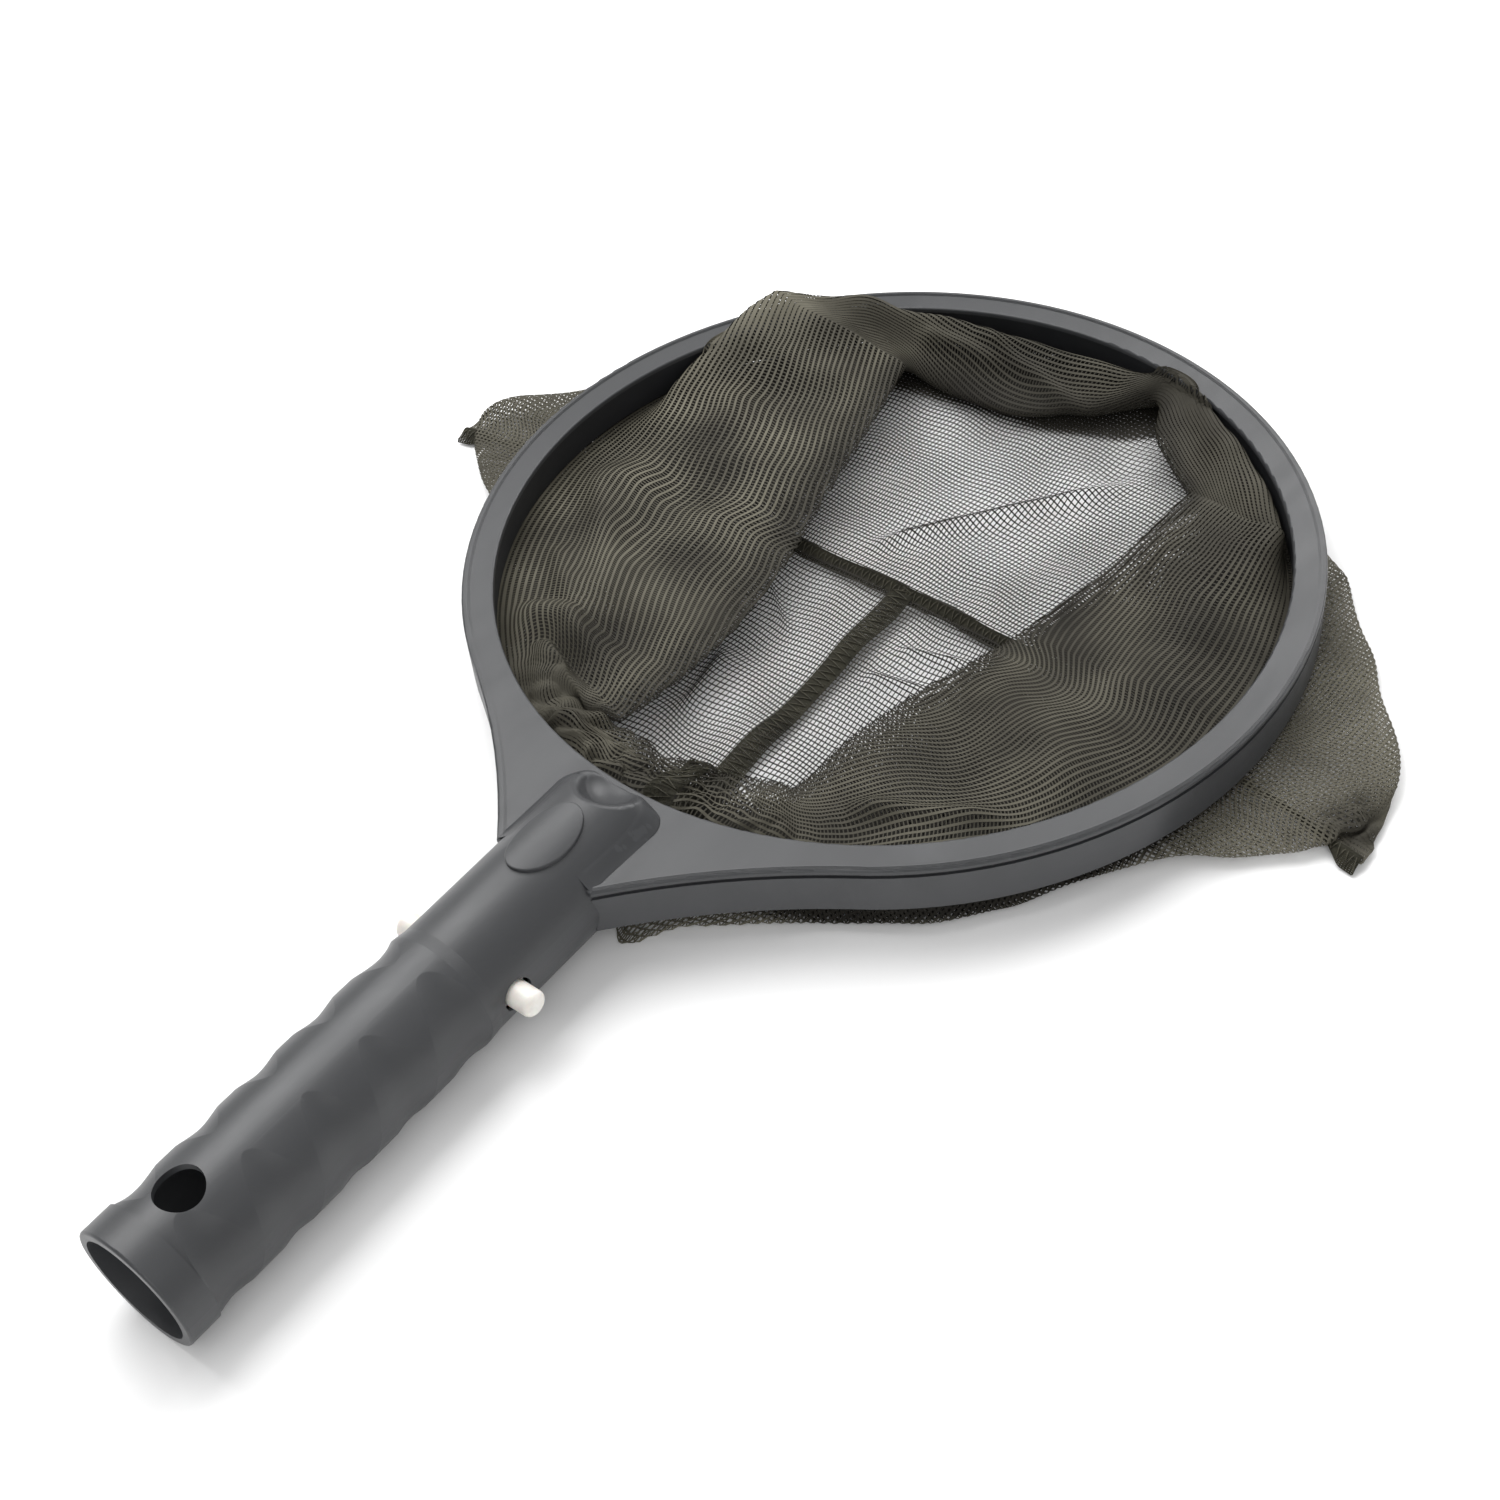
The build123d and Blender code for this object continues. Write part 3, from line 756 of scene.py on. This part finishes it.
def placed(name, verts, faces, material, smooth=False):
    """A mesh object from points in mm from the hoop's centre."""
    verts = verts * MM
    verts[:, 1] += HOOP_C.y
    return add_mesh(name, verts.tolist(), faces.tolist(), material, smooth)


def yarn(name, lines, radius, material, sides=5):
    """Round threads along lines of points, in mm from the hoop's centre."""
    verts, faces = [], []
    count = 0
    for line in lines:
        way = np.gradient(line, axis=0)
        way /= np.linalg.norm(way, axis=1, keepdims=True) + 1e-9
        one = np.cross(way, [0.3, 0.2, 1.0])
        one /= np.linalg.norm(one, axis=1, keepdims=True) + 1e-9
        two = np.cross(way, one)
        turn = np.arange(sides) * math.tau / sides
        ring = one[:, None] * np.cos(turn)[None, :, None] + two[:, None] * np.sin(turn)[None, :, None]
        verts.append((line[:, None] + radius * ring).reshape(-1, 3))
        i, j = np.meshgrid(np.arange(len(line) - 1), np.arange(sides), indexing="ij")
        k = (j + 1) % sides
        quads = np.stack([i * sides + j, i * sides + k, (i + 1) * sides + k, (i + 1) * sides + j], -1)
        faces.append(count + quads.reshape(-1, 4))
        count += len(line) * sides
    return placed(name, np.concatenate(verts), np.concatenate(faces), material, smooth=True)


def zigzag(points, normal, pitch, lift):
    """An overlock line that crosses a strip of grid points from side to side."""
    length = np.linalg.norm(np.diff(points[0], axis=0), axis=1).sum()
    turns = int(length / pitch)
    rows = np.linspace(0, points.shape[1] - 1, turns * 4 + 1)
    wave = 0.5 - 0.42 * np.cos(np.arange(len(rows)) * math.pi / 2)
    columns = wave * (points.shape[0] - 1)
    i, j = columns.astype(int), rows.astype(int)
    i, j = np.minimum(i, points.shape[0] - 2), np.minimum(j, points.shape[1] - 2)
    u, v = (columns - i)[:, None], (rows - j)[:, None]
    grid = points + normal * lift
    near = grid[i, j] * (1 - u) + grid[i + 1, j] * u
    far = grid[i, j + 1] * (1 - u) + grid[i + 1, j + 1] * u
    return near * (1 - v) + far * v


def side_seam_grid():
    """The strip where the rectangle's two side edges are sewn together, hem to bottom seam."""
    columns, rows = SIDE_SEAM_GRID
    half = SIDE_SEAM_HALF * 360 / NET_ROUND
    angles = np.linspace(SIDE_SEAM_ANGLE - half, SIDE_SEAM_ANGLE + half, columns)
    points, fold_at = net_paths(angles, rows)
    points = settle(points, angles, fold_at)
    _, _, normal = directions(points)
    face_up = np.where(normal[..., 2:] < 0, -1.0, 1.0)
    ridge = 0.35 + 0.35 * np.sin(np.linspace(0, math.pi, columns))[:, None, None]
    return points + normal * face_up * ridge, normal * face_up


def bottom_seam_grid():
    """The rolled allowance along the bottom seam, from one tip to the other."""
    x = np.linspace(-SEAM_HALF + 1, SEAM_HALF - 1, 400)
    line = seam_line(x)
    grid = []
    narrow = 1 - 0.75 * np.clip((np.abs(x) - 36) / 12, 0, 1) + 0.9 * np.clip((np.abs(x) - 119) / 5, 0, 1)
    profile = ((-3.4, -0.9), (-2.7, -0.2), (-1.9, 0.1), (-1.2, 0.5), (-0.5, 0.9), (0.1, 0.8), (0.5, 0.2))
    for across, up in profile:
        row = line.copy()
        row[:, 1] += across * narrow + 0.5 * ripple(x, x * 0, 21, 30)
        row[:, 2] += up * narrow + 0.3 * ripple(x, x * 0, 22, 17)
        row[:, 2] = np.maximum(row[:, 2], FLOOR_MM + 0.5)
        grid.append(row)
    points = np.stack(grid, 0)
    radius = np.hypot(points[..., 0], points[..., 1])
    skirt = rim_z(points[..., 1]) - SKIRT_H / MM - 0.4
    beneath = (radius > SKIRT_BAND[0]) & (radius < SKIRT_BAND[1])
    points[..., 2] = np.where(beneath, np.minimum(points[..., 2], skirt), points[..., 2])
    _, _, normal = directions(points)
    return points, np.where(normal[..., 2:] < 0, -1.0, 1.0) * normal


def finer(points, columns):
    """The same grid with its columns resampled, so that threads can lie closer."""
    spots = np.linspace(0, points.shape[0] - 1, columns)
    i = np.minimum(spots.astype(int), points.shape[0] - 2)
    u = (spots - i)[:, None, None]
    return points[i] * (1 - u) + points[i + 1] * u


def make_seams():
    """Both seams, as close double net, and their overlock stitching."""
    pieces = []
    for name, (points, normal), cad in (
        ("side_seam_strip", side_seam_grid(), "side_seam"),
        ("bottom_seam_roll", bottom_seam_grid(), "bottom_seam"),
    ):
        strip = weave(name, finer(points, SEAM_COLUMNS), SEAM_THREADS, seam_material)
        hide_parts(cad)
        stitch_line = zigzag(points, normal, STITCH_PITCH, STITCH_LIFT)
        stitches = yarn(name + "_stitches", [stitch_line], STITCH_R, stitch_material)
        for piece in (strip, stitches):
            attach(piece, "frame")
            pieces.append(piece)
    return pieces


def make_net():
    """The net in four pieces round the hoop, each built over its part of the flat rectangle."""
    columns = int(NET_ROUND / WARP_PITCH)
    rows = int(NET_DEPTH / WEFT_PITCH)
    seams = make_seams()
    for name, first, last in PANELS:
        angles = np.linspace(first, last, int(columns * (last - first) / 360) + 1)
        points, fold_at = net_paths(angles, rows + 1)
        points = settle(points, angles, fold_at)
        widths, painted_light = thread_widths(points, angles, fold_at)
        piece = weave(name, points, widths, net_material, painted_light)
        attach(piece, "frame")
        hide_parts("net_bag")


make_camera()
make_floor()
make_lights()
finish_cad_nodes()
make_throat_blend()
make_net()
